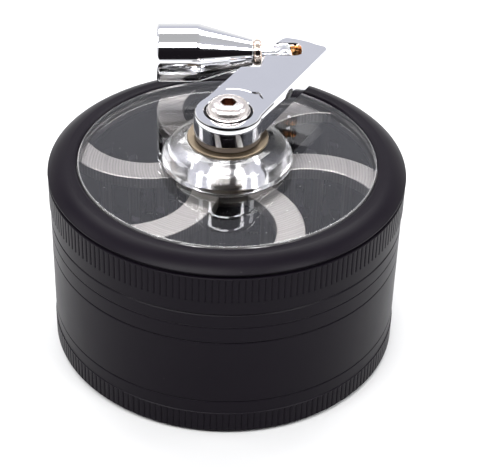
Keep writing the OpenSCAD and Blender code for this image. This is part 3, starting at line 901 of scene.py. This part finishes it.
def crank_arm():
    shape = Shape()
    low, high = shape.stack(arm_outline(), [
        (ARM_UNDER, 0.22), (ARM_UNDER + 0.06, 0.08), (ARM_UNDER + 0.2, 0), (ARM_TOP - 1.35, 0),
        (ARM_TOP - 0.75, 0.08), (ARM_TOP - 0.25, 0.24), (ARM_TOP - 0.07, 0.32), (ARM_TOP, 0.42)])
    flat, hole, sink = flatted(), turned(circle(2.1), ARM_ANGLE), turned(circle(4.25), ARM_ANGLE)
    flat_top, sink_floor = ARM_UNDER + 1.8, ARM_TOP - 0.3
    rings = [shape.loop(outline, z) for outline, z in (
        (flat, ARM_UNDER), (flat, flat_top), (hole, flat_top), (hole, sink_floor), (sink, sink_floor),
        (sink, ARM_TOP - 0.08), (inset(sink, -0.08), ARM_TOP))]
    shape.walls(rings)
    arrow = arrow_outline()
    mark_top, mark_low = shape.loop(arrow, ARM_TOP), shape.loop(inset(arrow, 0.09), ARM_TOP - 0.22)
    shape.wall(mark_top, mark_low)
    shape.cap(mark_low)
    shape.cap(low, rings[0])
    shape.cap(high, rings[-1], mark_top)
    drill_r = PIN_R + 0.03
    verts, faces = spin([(0, 4), (drill_r, 4), (drill_r, 10), (0, 10)], 48, closed=False)
    verts, faces = drilled(shape, (across_slot(verts), faces))
    add_piece("crank_arm_cast", verts, faces, "crank", ["crank_arm"], "chrome_plate", CHROME_ARM, sharp=22)


# ---------------------------------------------------------------- knob
def hinge_pin():
    profile = fillet([(0, 9.2), (PIN_R, 9.2, 0.12), (PIN_R, 25, 0.12), (0, 25)], closed=False, step=20)
    verts, faces = spin(profile, 48, closed=False)
    add_piece("hinge_pin_round", across_slot(verts), faces, "crank", ["hinge_pin"], "steel", STEEL)


def knob_stem():
    """The eye, a barrel with rounded shoulders on the pin, and the rod that the grip turns on."""
    bore, barrel, shoulder = 0.8, 1.6, 0.45
    eye = [(bore, 20.0, 0.1), (barrel, 20.0, shoulder), (barrel, 22.6, shoulder), (bore, 22.6, 0.1)]
    verts, faces = spin(fillet(eye, step=15), 64)
    shape = Shape()
    shape.add(across_slot(verts), faces)
    rod = [(0, 1.0), (0.9, 1.0), (0.9, 4.05), (1.4, 4.2), (1.4, 22.05, 0.1), (0.8, 22.05), (0.8, 17.1),
           (0, 17.1)]
    verts, faces = spin(fillet(rod, closed=False, step=20), 64, closed=False)
    shape.add(along_knob(verts), faces)
    add_piece("knob_stem_round", shape.v, shape.f, "knob", ["knob_stem"], "chrome_plate", CHROME)


def knob_collar():
    profile = fillet([(1.42, 4.2), (2.43, 4.2, 0.62), (2.43, 5.8, 0.62), (1.42, 5.8)], step=8)
    verts, faces = spin(profile, 96)
    add_piece("knob_collar_round", along_knob(verts), faces, "knob", ["knob_collar"], "chrome_plate",
              COPPERED)


def knob_grip():
    bore, radius, near, far, recess = 1.45, 5.4, 5.85, 23.5, 3.3
    profile = [(bore, near), (2.45, near, 0.2), (radius, 15.8, 3.0), (radius, far, 0.72), (recess, far, 0.15),
               (recess, 22.0), (bore, 22.0)]
    verts, faces = spin(fillet(profile, step=5), 160)
    add_piece("knob_grip_turned", along_knob(verts), faces, "grip", ["knob_grip"], "chrome_plate", CHROME)


def knob_screw():
    """Low-head screw in the rod's end. Its levels count from the head's underside."""
    n, underside = 72, 22.05
    socket = hexagon(1.5, n)
    rounds = ((1.9, 1.1), (2.2, 1.02), (2.36, 0.85), (2.4, 0.6), (2.4, 0.08), (2.32, 0), (0.8, 0),
              (0.8, -4.5), (0.6, -4.7))
    levels = [(socket, 0.35), (socket, 1.05), (inset(socket, -0.06), 1.1)]
    levels += [(circle(r, n), h) for r, h in rounds]
    shape = Shape()
    shape.solid([(outline, underside + h) for outline, h in levels])
    add_piece("knob_screw_flat", along_knob(shape.v), shape.f, "knob", ["knob_screw"], "steel", STEEL)


# ---------------------------------------------------------------- floor, lights, camera
def floor():
    reach, drop = 3, 0.0002                # metres
    mesh = bpy.data.meshes.new("floor")
    corners = ((-reach, -reach), (reach, -reach), (reach, reach), (-reach, reach))
    mesh.from_pydata([(x, y, -drop) for x, y in corners], [], [(0, 1, 2, 3)])
    mat, tree, shader = new_material(
        "pale_floor", Base_Color=(0.63, 0.63, 0.63, 1), Roughness=0.8, Emission_Color=(1, 1, 1, 1))
    # The lamps stand close, so the far floor glows a little to stay as pale as the near floor.
    glow = fade(tree, radius_of(tree), 0.15, 0.9, 0.0, 0.6, interpolation_type="SMOOTHSTEP")
    feed(tree, shader, Emission_Strength=glow)
    mesh.materials.append(mat)
    obj = bpy.data.objects.new("floor", mesh)
    bpy.context.scene.collection.objects.link(obj)


def area(name, place, aim, size, power):
    """A rectangular white lamp. Lengths are in metres."""
    data = bpy.data.lights.new(name, "AREA")
    data.shape, data.size, data.size_y = "RECTANGLE", size[0], size[1]
    data.energy = power
    obj = bpy.data.objects.new(name, data)
    obj.location = place
    obj.rotation_euler = (Vector(aim) - Vector(place)).to_track_quat("-Z", "Y").to_euler()
    bpy.context.scene.collection.objects.link(obj)


def lamps():
    area("front_softbox_left", (-0.315, -0.35, 0.63), (-0.315, 0, 0.03), (0.77, 0.19), 6.1)
    area("front_softbox_right", (0.475, -0.35, 0.63), (0.475, 0, 0.03), (0.45, 0.19), 3.6)
    area("back_softbox", (0.0, 0.36, 0.62), (0, 0, 0.03), (0.75, 0.26), 5.4)
    area("left_softbox", (-0.62, 0.10, 0.42), (0, 0, 0.02), (0.20, 0.30), 0.8)
    area("right_softbox", (0.62, 0.10, 0.42), (0, 0, 0.02), (0.20, 0.30), 0.8)


def world():
    """A pale room that is dark in front, up to the front softboxes. The camera itself sees plain white."""
    made = bpy.data.worlds.new("studio")
    bpy.context.scene.world = made
    made.use_nodes = True
    tree = made.node_tree
    direction = node(tree, "ShaderNodeTexCoord", {}).outputs["Generated"]
    parts = node(tree, "ShaderNodeSeparateXYZ", {"Vector": direction})
    depth, up = parts.outputs["Y"], parts.outputs["Z"]
    room = ramp(tree, up, [(0.0, 1.0), (0.3, 1.0), (0.5, (0.70, 0.71, 0.79)), (0.75, (0.64, 0.65, 0.72)),
                           (0.9, 0.6), (1.0, 0.55)])
    smooth = {"interpolation_type": "SMOOTHSTEP"}
    front = fade(tree, depth, -0.35, -0.62, **smooth)
    low = fade(tree, up, 0.80, 0.72, **smooth)
    above_floor = fade(tree, up, -0.02, 0.06, **smooth)
    dark = times(tree, times(tree, front, low), above_floor)
    reflected = mix(tree, dark, room, (0.012, 0.010, 0.012))
    seen = node(tree, "ShaderNodeLightPath", {}).outputs["Is Camera Ray"]
    background = tree.nodes["Background"]
    feed(tree, background, Color=mix(tree, seen, reflected, (1.05, 1.05, 1.06)))
    background.inputs["Strength"].default_value = 0.95


def camera():
    data = bpy.data.cameras.new("camera")
    data.lens, data.sensor_width, data.sensor_fit = 114.7, 36, "HORIZONTAL"
    data.clip_start, data.clip_end = 0.01, 20
    target, distance = Vector((2.60, 0, 19.54)) * MM, 278.6 * MM
    pitch, roll = math.radians(36.53), math.radians(1.61)
    obj = bpy.data.objects.new("camera", data)
    obj.location = target + Vector((0, -math.cos(pitch), math.sin(pitch))) * distance
    aim = (target - obj.location).to_track_quat("-Z", "Y").to_matrix()
    obj.rotation_euler = (aim @ Matrix.Rotation(roll, 3, "Z")).to_euler()
    bpy.context.scene.collection.objects.link(obj)
    bpy.context.scene.camera = obj


base_cup()
storage_cup()
chamber_cup()
chamber_teeth()
lid_ring()
sieve()
spring_rings()
lid_o_ring()
washers()
window()
bearing_bush()
rotor()
rotor_teeth()
spindle()
socket_screw("rotor_screw_button", 28.85, 5.2, -1, ["rotor_screw"], "steel", STEEL)
socket_screw("crank_screw_button", 45.75, 6.5, 1, ["crank_screw"], "chrome_plate", CHROME_WARM)
crank_arm()
hinge_pin()
knob_stem()
knob_collar()
knob_grip()
knob_screw()
floor()
lamps()
world()
camera()
scene = bpy.context.scene
scene.view_settings.view_transform = "Standard"
scene.view_settings.look = "None"
